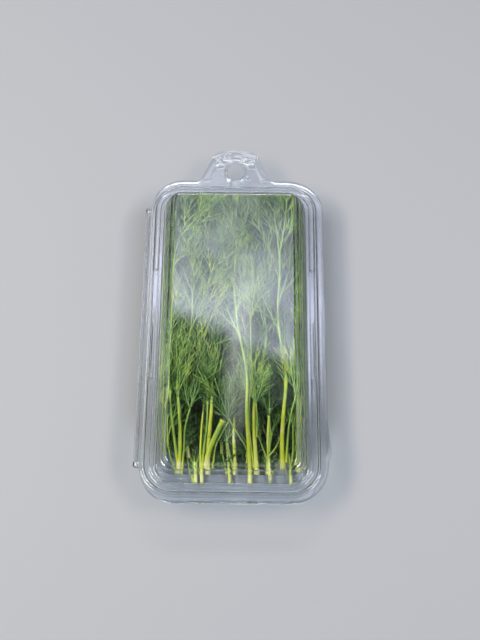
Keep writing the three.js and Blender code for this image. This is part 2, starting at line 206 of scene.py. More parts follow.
# Points along stems and stalks, sides round them, and the tip's radius as a share of the base's.
STEM = {"points": 60, "sides": 12, "tip": 0.3, "age": 0.14}
STALK = {"points": 40, "sides": 8, "tip": 0.6, "cut_tip": 0.9, "cut_age": 0.16}
STALK_AGES = ((0.4, 1.0), (0.44, 0.15))  # a stalk's radius, and its age at the base for that
STALK_TIP_AGE = 0.5  # age of a stem or stalk at its tip
GREENING = (0.1, 0.48)  # it is reached between these shares of the length
GROOVES = {"count": 5, "depth": 0.07}
# At a cut end and a node: the swelling as a share of the radius, and how much younger a stem is there.
CUT_END = {"swell": 0.25, "reach": 2.5, "younger": 0.12, "pale_reach": 6}
NODE = {"swell": 0.35, "reach": 1.3, "younger": 0.14, "pale_reach": 2.5}

# Painted shade: threads get older, darker tones away from daylight, and darker still towards the far end of
# FAR_RANGE.
PAINTED_SHADE = {"wall": 12, "outer": 1.6, "depth": 4, "age": 0.42}
# how much the painted shade darkens the threads at the far end
FAR_PAINTED_SHADE = 0.19
FAR_RANGE = (10, 75)

# The outer sprigs' stalks along a side wall: the layers they lie in, and the points they pass.
OUTER_LAYERS = (0.6, 2.0, 3.2, 4.4, 5.4, 6.4, 7.6)
INNER_LAYERS = (0.2, 1.3, 2.6, 3.8, 5.0, 6.0, 7.0)
WALL_LAYERS = {1: OUTER_LAYERS, 2: INNER_LAYERS, 19: INNER_LAYERS, 20: OUTER_LAYERS}
WALL_PATH = ((35.5, -63), (37, -30), (37.8, 10), (37, 48), (35, 70))
WALL_STALK = {"points": 60, "sides": 6, "radius": 0.55, "tip": 0.35, "age": 0.4, "stray": (1, 4, 1)}
# the leaves along a side wall have painted shade: their dark pushes them to darker tones
WALL_LEAF = {"every": 4, "length": 32, "turn": 15, "dark": 0.14}
BASE_LEAF = {"count": 3, "length": (18, 30), "turn": (10, 40), "up": 0.1, "dark": 0.16, "start": (3, 12)}


# ---- Numbers that the shapes share ----

def ramp(value, low, high):
    """0 below low, 1 above high, and 3s^2 - 2s^3 of the share s of the way between."""
    share = np.clip((value - low) / (high - low), 0, 1)
    return share * share * (3 - 2 * share)


def plateau(distance, reach, soft):
    """1 where a distance is under reach, falling to 0 over a band of the width soft round it."""
    return 1 - ramp(distance, reach - soft / 2, reach + soft / 2)


def unit(vectors):
    return vectors / np.maximum(np.linalg.norm(vectors, axis=-1, keepdims=True), 1e-9)


# ---- Meshes ----

def grid_faces(rows, columns, closed):
    """Quads of a grid, counted row by row. A closed grid joins its last column to its first."""
    row = np.arange(rows - 1)[:, None] * columns
    first = np.arange(columns if closed else columns - 1)[None, :]
    after = (first + 1) % columns
    below = row + columns
    return np.stack([row + first, below + first, below + after, row + after], -1).reshape(-1, 4)


def make_mesh(name, vertices, faces, ages=None):
    """A smooth-shaded mesh from vertices in millimetres and face arrays, each with its own corner count."""
    mesh = bpy.data.meshes.new(name)
    mesh.vertices.add(len(vertices))
    mesh.vertices.foreach_set("co", (vertices * MM).astype(np.float32).ravel())
    sizes = np.concatenate([np.full(len(part), part.shape[1]) for part in faces])
    corners = np.concatenate([part.ravel() for part in faces])
    mesh.loops.add(len(corners))
    mesh.loops.foreach_set("vertex_index", corners.astype(np.int32))
    mesh.polygons.add(len(sizes))
    mesh.polygons.foreach_set("loop_start", (np.cumsum(sizes) - sizes).astype(np.int32))
    mesh.update(calc_edges=True)
    mesh.validate()
    if ages is not None:
        mesh.attributes.new("age", "FLOAT", "POINT").data.foreach_set("value", ages.astype(np.float32))
    mesh.shade_smooth()
    return mesh


def add_object(name, data):
    made = bpy.data.objects.new(name, data)
    bpy.context.scene.collection.objects.link(made)
    return made


def add_piece(name, mesh, material):
    mesh.materials.append(material)
    return add_object(name, mesh)


# ---- Materials ----

def colour(hex_code):
    """An sRGB hex colour as linear RGBA: v/12.92 up to 0.04045, and ((v + 0.055)/1.055)^2.4 above."""
    values = [int(hex_code[at:at + 2], 16) / 255 for at in (1, 3, 5)]
    return [v / 12.92 if v <= 0.04045 else ((v + 0.055) / 1.055) ** 2.4 for v in values] + [1]


def add_node(tree, kind, settings=None, **links):
    """Adds a shader node, sets its inputs or its own properties, and links its inputs. A link's name has
    underscores for spaces, and a number after one for an input that has no name of its own."""
    node = tree.nodes.new("ShaderNode" + kind)
    for key, value in (settings or {}).items():
        if key in node.inputs:
            node.inputs[key].default_value = value
        else:
            setattr(node, key, value)
    for key, socket in links.items():
        name = key.replace("_", " ").strip()
        tree.links.new(socket, node.inputs[name] if name in node.inputs else node.inputs[int(name)])
    return node


def new_material(name):
    material = bpy.data.materials.new(name)
    material.use_nodes = True
    material.node_tree.nodes.clear()
    return material, material.node_tree


def formed_pet():
    """Clear thermoformed PET sheet: glossy and colourless. Its flat faces aren't quite flat, so a soft box
    mirrors in them with a wavering outline. Lamps shine straight through it to the dill."""
    material, tree = new_material("clear_pet_sheet")
    place = add_node(tree, "TexCoord").outputs["Object"]
    draw = add_node(tree, "TexNoise", {"Scale": 1 / (19 * MM), "Detail": 1.5, "Roughness": 0.4}, Vector=place)
    bump = add_node(tree, "Bump", {"Strength": 0.06, "Distance": 0.00012}, Height=draw.outputs["Fac"])
    sheet = add_node(tree, "BsdfPrincipled", {
        "Base Color": colour("#F8FAFC"), "Roughness": 0.03, "IOR": 1.575, "Transmission Weight": 1.0,
    }, Normal=bump.outputs["Normal"])
    clear = add_node(tree, "BsdfTransparent", {"Color": colour("#F1F4F6")})
    rays = add_node(tree, "LightPath")
    for ray in ("Is Diffuse Ray", "Is Shadow Ray"):
        sheet = add_node(tree, "MixShader", None,
                         _0=rays.outputs[ray], _1=sheet.outputs[0], _2=clear.outputs[0])
    add_node(tree, "OutputMaterial", None, Surface=sheet.outputs[0])
    return material


def fresh_dill():
    """Fresh cut dill: pale yellow-green stems, and threads from light to deep green, with a faint waxy sheen.
    The attribute age runs from 0 at a cut end to 1 at the deepest threads, and it carries painted shade:
    threads away from daylight and at the far end get darker tones."""
    material, tree = new_material("fresh_dill")
    place = add_node(tree, "TexCoord").outputs["Object"]
    patches = add_node(tree, "TexNoise", {"Scale": 1 / (7 * MM), "Detail": 3.0}, Vector=place)
    spread = add_node(tree, "MapRange", {
        "From Min": 0.3, "From Max": 0.7, "To Min": -0.1, "To Max": 0.1,
    }, Value=patches.outputs["Fac"])
    age = add_node(tree, "Attribute", {"attribute_name": "age"})
    varied = add_node(tree, "Math", {"operation": "ADD", "use_clamp": True},
                      _0=age.outputs["Fac"], _1=spread.outputs[0])
    tones = add_node(tree, "ValToRGB", None, Fac=varied.outputs[0])
    ramp_of(tones, ((0.0, "#DEDB92"), (0.14, "#C6CA34"), (0.3, "#A6BB40"), (0.48, "#86A648"),
                    (0.7, "#507828"), (0.86, "#2A4A13"), (1.0, "#172A0C")))
    leaf = add_node(tree, "BsdfPrincipled", {
        "Roughness": 0.38, "IOR": 1.45, "Specular IOR Level": 0.5,
    }, Base_Color=tones.outputs["Color"])
    add_node(tree, "OutputMaterial", None, Surface=leaf.outputs[0])
    return material


def ramp_of(node, stops):
    """Sets a colour ramp's stops from pairs of place and hex colour."""
    elements = node.color_ramp.elements
    while len(elements) < len(stops):
        elements.new(0.5)
    for element, (place, code) in zip(elements, stops):
        element.position = place
        element.color = colour(code)


# ---- Formed sheet: a skin carried round the pack's rounded rectangle ----

def folded(skin, steps=4):
    """The skin's polyline with each corner replaced by a curve: the points (1-s)^2 a + 2s(1-s) p + s^2 b,
    where p is the corner and a and b lie on its two edges, a fold's radius or its share of the edge away. One
    more point a little way along each edge keeps the faces between the folds flat."""
    rows = [skin[0]]
    for before, corner, after in zip(skin[:-2], skin[1:-1], skin[2:]):
        back, on = before - corner, after - corner
        room = min(np.linalg.norm(back), np.linalg.norm(on))
        reach = min(FOLD, FOLD_SHARE * room)
        hold = min(HOLD, 0.2 * (room - 2 * reach))
        a, b = corner + reach * unit(back), corner + reach * unit(on)
        s = np.linspace(0, 1, steps)[:, None]
        curve_rows = (1 - s) ** 2 * a + 2 * s * (1 - s) * corner + s ** 2 * b
        rows += [a + hold * unit(back), *curve_rows, b + hold * unit(on)]
    rows.append(skin[-1])
    return np.array(rows)


CENTRE_X, CENTRE_Y = HALF_WIDTH - CORNER, HALF_LENGTH - CORNER  # centres of the rounded corners
# Places along a side about 3 mm apart, with more of them close round the bars' ends and along the thumb lip.
MARKS = (LOCK_BAR["low"], LOCK_BAR["high"], LATCH["low"], LATCH["high"], -76, -74, -72, -69, -64, -59, -56)
CLOSE_Y = np.add.outer(MARKS, (-0.6, -0.3, 0, 0.3, 0.6)).ravel()
SIDE_Y = np.unique(np.round(np.concatenate([np.linspace(-CENTRE_Y, CENTRE_Y, 54), CLOSE_Y]), 3))
TAB_X = np.linspace(-TAB["base"], TAB["base"], TAB_POINTS["base"])
BESIDE_TAB = np.linspace(TAB["base"], CENTRE_X, 6)[1:]
END_X = np.concatenate([-BESIDE_TAB[::-1], TAB_X, BESIDE_TAB])
LEAF_TURN = math.asin((HINGE["half"] - CENTRE_Y) / CORNER)  # where the hinge leaf ends in the corner


def columns():
    """The outline's columns, counterclockwise from the right side's near end: each one's centre on the
    rectangle of the corners' centres, and its direction away from it."""
    turn = np.linspace(0, math.pi / 2, CORNER_COLUMNS)
    leaf_turn = np.sort(np.append(turn, LEAF_TURN))[1:-1]
    turn = turn[1:-1]
    parts = [np.broadcast_arrays(*part) for part in (
        (CENTRE_X, SIDE_Y, 0.0),
        (CENTRE_X, CENTRE_Y, turn),
        (END_X[::-1], CENTRE_Y, math.pi / 2),
        (-CENTRE_X, CENTRE_Y, math.pi - leaf_turn[::-1]),
        (-CENTRE_X, SIDE_Y[::-1], math.pi),
        (-CENTRE_X, -CENTRE_Y, math.pi + leaf_turn),
        (END_X, -CENTRE_Y, 1.5 * math.pi),
        (CENTRE_X, -CENTRE_Y, 1.5 * math.pi + turn),
    )]
    x, y, angle = (np.concatenate(values) for values in zip(*parts))
    return x, y, np.cos(angle), np.sin(angle)


def carried(skin):
    """A grid of the skin's points by the outline's columns: a column's centre plus its direction times the
    corner radius less the inset, at the point's height. On the hinge side x keeps the hinge strip free."""
    centre_x, centre_y, out_x, out_y = columns()
    inset = skin[:, :1]
    across = np.where(out_x < -1e-6, np.maximum(inset, HINGE_STRIP), inset)
    x = centre_x + (CORNER - across) * out_x
    y = centre_y + (CORNER - inset) * out_y
    z = np.broadcast_to(skin[:, 1:], x.shape)
    return np.stack([x, y, z], -1)


def slot_distance(x, y):
    """How far a point is outside the slot, an upright stroke with round ends."""
    return np.hypot(x, np.maximum(np.abs(y - SLOT["y"]) - SLOT["reach"], 0)) - SLOT["radius"]


def side_distance(x, y):
    """How far inside the tab's slanting side a point is, square to that side."""
    run = np.array([TAB["base"] - TAB["shoulder_x"], TAB["shoulder_y"] - HALF_LENGTH])
    across, along = run[1] / np.hypot(*run), run[0] / np.hypot(*run)
    return (TAB["base"] - np.abs(x)) * across - (y - HALF_LENGTH) * along


def lid_tab_relief(x, y):
    """Heights on the lid's tab: the most of a ring round the slot, a notched crescent, two dimpled buttons, a
    border along each side and pips at its foot."""
    ring = raised(RING, np.abs(slot_distance(x, y) - RING["away"]))
    crescent = raised(CRESCENT, np.abs(np.hypot(x, y - CRESCENT["y"]) - CRESCENT["radius"]))
    arc = np.abs(np.arctan2(x, y - CRESCENT["y"])) * CRESCENT["radius"]
    crescent = crescent * plateau(arc, CRESCENT["spread"] * CRESCENT["radius"], CRESCENT_END_SOFT)
    notch = plateau(np.abs(x), NOTCH["half_width"], NOTCH["soft"])
    notch = notch * plateau(np.abs(y - NOTCH["y"]), NOTCH["half_length"], NOTCH["soft"])
    button = raised(BUTTON, button_distance(x, y)) - raised(DIMPLE, button_distance(x, y))
    border = raised(BORDER, np.abs(side_distance(x, y) - BORDER["inset"])) * ramp(y, *BORDER_START)
    pips = sum(raised(PIP, np.hypot(x - pip_x, y - pip_y)) for pip_x, pip_y in PIP_PLACES)
    highest = np.maximum.reduce([ring, crescent * (1 - notch), button, border, pips])
    return highest * (y > TAB["start"])


def raised(part, distance):
    """The part's height where a distance is under its half width, with its soft slope round it."""
    return part["height"] * plateau(distance, part["half"], part["soft"])


def button_distance(x, y):
    return np.hypot(np.abs(x) - BUTTON["x"], y - BUTTON["y"])


def tray_tab_relief(x, y):
    """Heights on the tray's tab: two nubs that the lid's buttons snap over."""
    return raised(NUB, button_distance(x, y))


def bar_height(x, y):
    """Heights on the lid's flange: the lock bars that bridge the channel, and the latch strip on them."""
    heights = 0
    for part in (LOCK_BAR, LATCH):
        middle, half = (part["low"] + part["high"]) / 2, (part["high"] - part["low"]) / 2
        lifted = raised(part, np.abs(HALF_WIDTH - np.abs(x) - part["inset"]))
        heights = heights + lifted * plateau(np.abs(y - middle), half, BAR_END_SOFT)
    return heights


def thumb_reach(x, y, inset):
    """How far the rim is drawn out at the thumb lip: a rounded rise to its peak and a longer fall."""
    rise = ramp(y, THUMB["low"], THUMB["peak"]) * (1 - ramp(y, THUMB["peak"], THUMB["high"]))
    return THUMB["reach"] * rise * (x > 0) * (1 - ramp(inset, 0, THUMB["inset"]))


def tab_grid():
    """The tab as rings of points from the slot's edge to the tab's outline, even along each ray from the
    slot's middle. The outline has the flange's edge points, straight sides and an arched top."""
    wide, high = TAB["shoulder_x"], TAB["shoulder_y"]
    side = np.linspace(0, 1, TAB_POINTS["side"])[1:]
    side_x = TAB["base"] + (wide - TAB["base"]) * side
    side_y = HALF_LENGTH + (high - HALF_LENGTH) * side
    turn = np.linspace(0, math.pi, TAB_POINTS["top"])[1:-1]
    top_y = high + (TAB["top"] - high) * np.sin(turn)
    x = np.concatenate([TAB_X, side_x, wide * np.cos(turn), -side_x[::-1]])
    y = np.concatenate([np.full(len(TAB_X), HALF_LENGTH), side_y, top_y, side_y[::-1]]) - SLOT["y"]
    radius, reach, up = SLOT["radius"], SLOT["reach"], np.abs(y)
    square, lean = x ** 2 + y ** 2, reach * up
    # The ray's share up to the slot's straight side, and up to its round end.
    flat = radius / np.maximum(np.abs(x), 1e-9)
    cap = (lean + np.sqrt(lean ** 2 + square * (radius ** 2 - reach ** 2))) / square
    share = np.where(flat * up <= reach, flat, cap)
    mix = share + (1 - share) * np.linspace(0, 1, TAB_POINTS["rings"])[:, None]
    return x * mix, SLOT["y"] + y * mix


def hinge_leaf(height, side):
    """The level strip from the flange's edge to the fold, in rows across it. Its two beads are half-round
    ridges, of the height sqrt(r^2 - d^2) at the distance d from their middles."""
    y = np.concatenate([[-HINGE["half"]], SIDE_Y, [HINGE["half"]]])
    turn = np.arcsin(np.maximum(np.abs(y) - CENTRE_Y, 0) / CORNER)
    edge = -CENTRE_X - (CORNER - HINGE_STRIP) * np.cos(turn)
    across = np.linspace(0, 1, HINGE["rows"])[:, None]
    x = edge + (-HINGE["edge"] - edge) * across
    ends = plateau(np.abs(y), HINGE["half"] - HINGE["gap"], HINGE["soft"])
    squares = [HINGE["bead"] ** 2 - (HALF_WIDTH + x - middle) ** 2 for middle in HINGE["insets"]]
    z = height + side * np.sqrt(np.maximum(squares, 0)).sum(0) * ends
    return np.stack([x, np.broadcast_to(y, x.shape), z], -1)


def formed_sheet(name, skin, height, bead_side, up, shape, relief, material):
    """One half of the pack: the carried skin with its level middle, its half of the tab and its hinge leaf,
    welded along their shared edges, with the sheet's thickness inwards and finely rounded cut edges."""
    rows = folded(skin)
    body = shape(carried(rows), rows)
    tab_x, tab_y = tab_grid()
    tab = np.stack([tab_x, tab_y, height + relief(tab_x, tab_y)], -1)
    leaf = hinge_leaf(height, bead_side)
    parts, faces, total = [], [], 0
    for grid, closed, turned in ((body, True, False), (tab, True, False), (leaf, False, True)):
        parts.append(grid.reshape(-1, 3))
        quads = grid_faces(*grid.shape[:2], closed) + total
        faces.append(quads[:, ::-1] if up == turned else quads)
        total += len(parts[-1])
    middle = np.arange(body.shape[1])[None, :]
    faces.append(middle if up else middle[:, ::-1])
    mesh = make_mesh(name, np.concatenate(parts), faces)
    welded = bmesh.new()
    welded.from_mesh(mesh)
    bmesh.ops.remove_doubles(welded, verts=welded.verts, dist=WELD * MM)
    welded.to_mesh(mesh)
    welded.free()
    piece = add_piece(name, mesh, material)
    wall = piece.modifiers.new("wall", "SOLIDIFY")
    wall.thickness = SHEET * MM
    wall.offset = -1
    edge = piece.modifiers.new("edge", "BEVEL")
    edge.width = EDGE_ROUND * MM
    edge.segments = 2
    edge.limit_method = "ANGLE"
    edge.angle_limit = math.radians(60)
    return piece


def lid_shape(body, rows):
    """The lid's skin with its lock bars, the tab's ring where it runs onto the flange, and the thumb lip."""
    x, y, z = np.moveaxis(body, -1, 0)
    inset = rows[:, :1]
    lifted = LID_TOP + np.maximum(bar_height(x, y), lid_tab_relief(x, y))
    z = np.where(inset < RIM, np.maximum(z, lifted), z)
    return np.stack([x + thumb_reach(x, y, inset), y, z], -1)


def make_pack(material):
    lid = formed_sheet("lid_shell", LID_SKIN, LID_TOP, 1, True, lid_shape, lid_tab_relief, material)
    tray = formed_sheet("tray_shell", TRAY_SKIN, TRAY_UNDER, -1, False, lambda body, rows: body,
                        tray_tab_relief, material)
    for piece, body in ((lid, "lid"), (tray, "base")):
        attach(piece, body)
        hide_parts("lid" if body == "lid" else "tray")
    film = add_piece("hinge_film", hinge_film(), material)
    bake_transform(film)


def hinge_film():
    """The thin film left at the fold: a half ring round the hinge line, carried along it."""
    turn = np.linspace(math.pi / 2, 1.5 * math.pi, FILM["round"])
    arc = np.stack([np.cos(turn), np.sin(turn)], -1)
    ring = np.concatenate([FILM["outer"] * arc, FILM["inner"] * arc[::-1]]) + (-HINGE["edge"], FILM["height"])
    reach = HINGE["half"] - FILM["gap"]
    y = np.linspace(-reach, reach, FILM["rows"])
    vertices = np.stack(np.broadcast_arrays(ring[:, 0], y[:, None], ring[:, 1]), -1).reshape(-1, 3)
    outer = np.arange(len(turn))
    inner = len(ring) - 1 - outer
    cap = np.stack([outer[:-1], outer[1:], inner[1:], inner[:-1]], -1)
    far_cap = cap[:, ::-1] + (len(y) - 1) * len(ring)
    return make_mesh("hinge_film", vertices, [grid_faces(len(y), len(ring), True), cap, far_cap])


# ---- Dill ----

def inside_pack(points, radius):
    """Points pressed into the pack's hollow: their distance past the rectangle of the corners' centres stays
    as it is up to a squeeze's width short of the wall, and then nears the wall by an exponential fall."""
    low, high = SHEET + radius + WALL_CLEAR, LID_SKIN[0, 1] - SHEET - radius - WALL_CLEAR
    z = pressed(np.maximum(points[..., 2], low), high, TOP_SQUEEZE)
    room = CORNER - np.interp(z, HOLLOW[:, 1], HOLLOW[:, 0]) - SHEET - WALL_CLEAR - radius
    skeleton = np.array([CENTRE_X, CENTRE_Y])
    flat = points[..., :2]
    nearest = np.clip(flat, -skeleton, skeleton)
    away = flat - nearest
    distance = np.linalg.norm(away, axis=-1)
    share = pressed(distance, room, SQUEEZE) / np.maximum(distance, 1e-9)
    share = np.where(distance > 1e-9, share, 1)
    return np.concatenate([nearest + away * share[..., None], z[..., None]], -1)


def pressed(value, limit, soft):
    """The value itself up to soft short of the limit, then limit - soft e^(-(value - limit + soft)/soft)."""
    over = np.maximum(value - (limit - soft), 0)
    return np.where(over > 0, limit - soft * np.exp(-over / soft), value)


def painted_shade(points):
    """How far a point is from daylight, from 0 outside to near 1 in the middle: 1 - e^(-d/s), where s is the
    shade's depth and d the least distance to the lid's panel, the tray's floor or a side wall. It is painted
    shade: it darkens the threads' colour."""
    x, _, z = np.moveaxis(points, -1, 0)
    least = np.minimum.reduce([LID_SKIN[0, 1] - z, z, HALF_WIDTH - PAINTED_SHADE["wall"] - np.abs(x)])
    return 1 - np.exp(-np.maximum(least - PAINTED_SHADE["outer"], 0) / PAINTED_SHADE["depth"])


NEARLY_UP = (0.05, 0.02, 1.0)  # no stem or thread runs quite this way


def tubes(points, radii, ages, sides, ridges=0.0):
    """Closed tubes along many paths, as vertices, triangles and ages. Each ring is its path's point plus the
    radius times the cosine and sine of each side's angle along two directions square to the path, and each
    end closes to a point. Ridges make the radius swell and fall as often round it as there are grooves."""
    tube_count, stations = points.shape[:2]
    way = unit(np.gradient(points, axis=1))
    across = unit(np.cross(way, NEARLY_UP))
    over = np.cross(across, way)
    angle = np.arange(sides) * 2 * math.pi / sides
    swell = 1 + ridges * np.cos(GROOVES["count"] * angle)
    ring = (swell * np.cos(angle))[:, None] * across[:, 1:-1, None]
    ring = ring + (swell * np.sin(angle))[:, None] * over[:, 1:-1, None]
    body = points[:, 1:-1, None] + radii[:, 1:-1, None, None] * ring
    vertices = np.concatenate([points[:, :1], body.reshape(tube_count, -1, 3), points[:, -1:]], 1)
    quads = 1 + grid_faces(stations - 2, sides, True)
    base, tip = np.zeros(sides, int), np.full(sides, vertices.shape[1] - 1)
    triangles = np.concatenate([
        np.stack([base, quads[:sides, 0], quads[:sides, 3]], -1), quads[:, :3], quads[:, [0, 2, 3]],
        np.stack([tip, quads[-sides:, 2], quads[-sides:, 1]], -1),
    ])
    tube_starts = np.arange(tube_count) * vertices.shape[1]
    triangles = (triangles + tube_starts[:, None, None]).reshape(-1, 3)
    vertex_ages = np.concatenate([ages[:, :1], np.repeat(ages[:, 1:-1], sides, 1), ages[:, -1:]], 1)
    return vertices.reshape(-1, 3), triangles, vertex_ages.ravel()


def curve(bends, shares):
    """Points (1-t)^2 a + 2t(1-t) b + t^2 c on each bend's start a, handle b and end c."""
    t = shares[..., None]
    a, b, c = (bends[:, None, part] for part in range(3))
    return (1 - t) ** 2 * a + 2 * t * (1 - t) * b + t ** 2 * c


def heading(bends, shares):
    """The way of each bend at the shares: (1-t)(b - a) + t(c - b), made a unit long."""
    t = shares[..., None]
    a, b, c = (bends[:, None, part] for part in range(3))
    return unit((1 - t) * (b - a) + t * (c - b))


# Side shoots: how far a pair's second is past its first, and how much each measure strays.
SHOOT = {"apart": 0.035, "place": 0.03, "angle": 0.2, "plane": 0.2, "way": 0.04, "length": (0.75, 1.2)}


def shoots(bends, faces, shades, places, reach, spread, forward, rng):
    """Side shoots of each bend, one to either side at each place. A shoot leaves at the spread angle in the
    leaf's plane and leans back to its parent's way. Its length is the parent's times reach of the place."""
    count = len(bends)
    shares = np.clip(places + rng.normal(0, SHOOT["place"], (count, len(places))), 0.02, 0.98)
    shares = np.repeat(shares, 2, 1) + np.tile([0.0, SHOOT["apart"]], len(places))
    shares = np.clip(shares, 0.02, 0.985)
    side = np.tile([1.0, -1.0], len(places))[None, :, None]
    start = curve(bends, shares)
    way = heading(bends, shares)
    normal = faces[:, None] + rng.normal(0, SHOOT["plane"], start.shape)
    beside = unit(np.cross(normal, way)) * side
    angle = (math.radians(spread) * rng.normal(1, SHOOT["angle"], shares.shape))[..., None]
    out = unit(np.cos(angle) * way + np.sin(angle) * beside + rng.normal(0, SHOOT["way"], start.shape))
    long = np.linalg.norm(bends[:, 2] - bends[:, 0], axis=-1)[:, None]
    length = (long * reach(shares) * rng.uniform(*SHOOT["length"], shares.shape))[..., None]
    handle = start + out * length * 0.5
    end = handle + unit(out + forward * way) * length * 0.5
    made = np.stack([start, handle, end], 2).reshape(-1, 3, 3)
    return made, unit(normal).reshape(-1, 3), np.repeat(shades, shares.shape[1])


def stem_height(layer, y):
    return STEM_LOW + (LAYER_FIRST + layer * LAYER_STEP - STEM_LOW) * ramp(y, *RISE)


def main_stem(row, y):
    """The middle of a sprig's main stem at distances y: low at the cut end, then up to its layer and sideways
    into its lane, and on to the tip."""
    cut_x, _, layer, mid_x, tip_x, tip_y, _ = row
    lane = cut_x + (mid_x - cut_x) * ramp(y, *DRIFT)
    x = lane + (tip_x - lane) * ramp(y, DRIFT[1], tip_y) * ramp(y, *DRIFT)
    x = x + SWAY["reach"] * np.sin(y / SWAY["run"] + SWAY["start"] * cut_x)
    return np.stack([x, y, stem_height(layer, y)], -1)


def through(points, count):
    """A smooth path through the points: between two of them, the cubic whose slope at each end is half the
    step between the neighbours on either side."""
    padded = np.concatenate([2 * points[:1] - points[1:2], points, 2 * points[-1:] - points[-2:-1]])
    place = np.linspace(0, len(points) - 1, count)
    at = np.minimum(place.astype(int), len(points) - 2)
    t = (place - at)[:, None]
    a, b, c, d = (padded[at + offset] for offset in range(4))
    square, cube = 2 * a - 5 * b + 4 * c - d, 3 * b - a - 3 * c + d
    return 0.5 * (2 * b + (c - a) * t + square * t ** 2 + cube * t ** 3)


def with_ends(path, nudge=0.02):
    """The path with a point a nudge inside either end, so that a tube along it ends in flat cuts."""
    start = path[:1] + nudge * unit(path[1:2] - path[:1])
    end = path[-1:] - nudge * unit(path[-1:] - path[-2:-1])
    return np.concatenate([path[:1], start, path[1:-1], end, path[-1:]])


def near(path, node, reach):
    """e^(-(d/r)^2) of each point's distance d from the node, with the reach r."""
    return np.exp(-(np.linalg.norm(path - node, axis=1) / reach) ** 2)


def cut_stalk(path, radius, tip_radius, nodes, sides, young, old=STALK_TIP_AGE):
    """A grooved stalk, whose radius falls by the square root of the way to the tip. It swells at the base and
    at each node. Its age runs from young to old, and drops where it swells."""
    whole = with_ends(path)
    run = np.concatenate([[0], np.cumsum(np.linalg.norm(np.diff(whole, axis=0), axis=1))])
    share = run / run[-1]
    radii = radius + (tip_radius - radius) * share ** 0.5
    radii = radii * (1 + CUT_END["swell"] * np.exp(-run / CUT_END["reach"]))
    ages = young + (old - young) * ramp(share, *GREENING)
    ages = ages - CUT_END["younger"] * np.exp(-run / CUT_END["pale_reach"])
    for node in nodes:
        radii = radii * (1 + NODE["swell"] * near(whole, node, NODE["reach"]))
        ages = ages - NODE["younger"] * near(whole, node, NODE["pale_reach"])
    pressed_path = inside_pack(whole, radius)
    return tubes(pressed_path[None], radii[None], np.clip(ages, 0, 1)[None], sides, GROOVES["depth"])


# Places along a midrib, a side rib and a thread, as shares of its length. The second makes the cut end flat.
MIDRIB_PLACES = np.array([0, 0.01, 0.12, 0.26, 0.42, 0.58, 0.74, 0.88, 1])
RIB_PLACES = np.array([0, 0.02, 0.25, 0.5, 0.75, 1])
THREAD_PLACES = np.array([0, 0.03, 0.4, 0.75, 1])
# Each rank of a leaf: radius at the base and tip, age there, places and number of sides.
MIDRIB = (0.46, 0.28, 0.33, 0.4, MIDRIB_PLACES, 5)
RIB = (0.36, 0.24, 0.35, 0.43, RIB_PLACES, 3)
THREAD = (0.29, 0.18, 0.35, 0.48, THREAD_PLACES, 3)
FORK = (0.27, 0.18, 0.38, 0.5, THREAD_PLACES, 3)
# Each rank's shoots: their places, their length for a place t as a share of the parent's, angle and lean.
RIB_SHOOTS = (np.linspace(0.12, 0.8, 4), lambda t: 0.26 + 0.4 * (1 - t) ** 0.8, 25, 1.1)
THREAD_SHOOTS = (np.linspace(0.2, 0.8, 3), lambda t: 0.38 + 0.32 * (1 - t), 22, 0.9)
FORK_SHOOTS = (np.array([0.36]), lambda t: 0.6 + 0 * t, 20, 1.0)
FORKED = 0.22  # share of the forks on a fine leaf's threads that grow
THREAD_STRAY = 0.05  # spread of a thread's age round its leaf's
LEAF_STRAY = 0.07  # spread of a leaf's age round its stem's


def grown(bends, radius, tip, age, tip_age, places, sides, shades, rng):
    """Tubes along bends from radius to tip, pressed into the pack, each a little off its leaf's own shade.
    Painted shade darkens their age away from daylight and towards the far end.
    """
    t = np.broadcast_to(places, (len(bends), len(places)))
    points = inside_pack(curve(bends, t), radius)
    radii = radius + (tip - radius) * t
    own = (shades + rng.normal(0, THREAD_STRAY, len(bends)))[:, None]
    # painted shade: threads towards the far end get darker tones
    painted_far_shade = FAR_PAINTED_SHADE * ramp(points[..., 1], *FAR_RANGE)
    # painted shade: threads away from daylight get older, darker tones
    ages = np.clip(age + (tip_age - age) * t + own + PAINTED_SHADE["age"] * painted_shade(points) + painted_far_shade, 0, 1)
    return tubes(points, radii, ages, sides)


def leaves(bends, faces, shades, fine, rng):
    """Feathery leaves on the given midribs: pairs of side ribs, pairs of threads on those, and on a fine leaf
    the threads fork again. Ribs get shorter towards a leaf's tip."""
    made = [grown(bends, *MIDRIB, shades, rng)]
    ribs, rib_faces, rib_shades = shoots(bends, faces, shades, *RIB_SHOOTS, rng)
    made.append(grown(ribs, *RIB, rib_shades, rng))
    threads, thread_faces, thread_shades = shoots(ribs, rib_faces, rib_shades, *THREAD_SHOOTS, rng)
    made.append(grown(threads, *THREAD, thread_shades, rng))
    if fine:
        forks, _, fork_shades = shoots(threads, thread_faces, thread_shades, *FORK_SHOOTS, rng)
        kept = rng.random(len(forks)) < FORKED
        made.append(grown(forks[kept], *FORK, fork_shades[kept], rng))
    return made


def leaf_faces(count, rng):
    """The way each leaf's flat side faces: up, a little aslant."""
    return unit(rng.normal(0, 0.3, (count, 3)) + (0, 0, 1.0))


def midribs(starts, ways, lengths, turns, rng, lift=0.0):
    """Leaf midribs: each leaves its start a little more than its turn off the stem's way, and bends back to
    less than half of it. The lift is the rise of all of them for each step forward."""
    def turned(angle):
        c, s = np.cos(angle), np.sin(angle)
        x, y, z = ways.T
        rise = z * 0.5 + lift + rng.normal(0, 0.06, len(z))
        return unit(np.stack([c * x - s * y, s * x + c * y, rise], -1))

    handle = starts + turned(turns * 1.15) * lengths[:, None] * 0.45
    end = handle + turned(turns * 0.45) * lengths[:, None] * 0.55
    return np.stack([starts, handle, end], 1)


def both_sides(count):
    """1 and -1 by turns."""
    return np.where(np.arange(count) % 2 == 0, 1.0, -1.0)


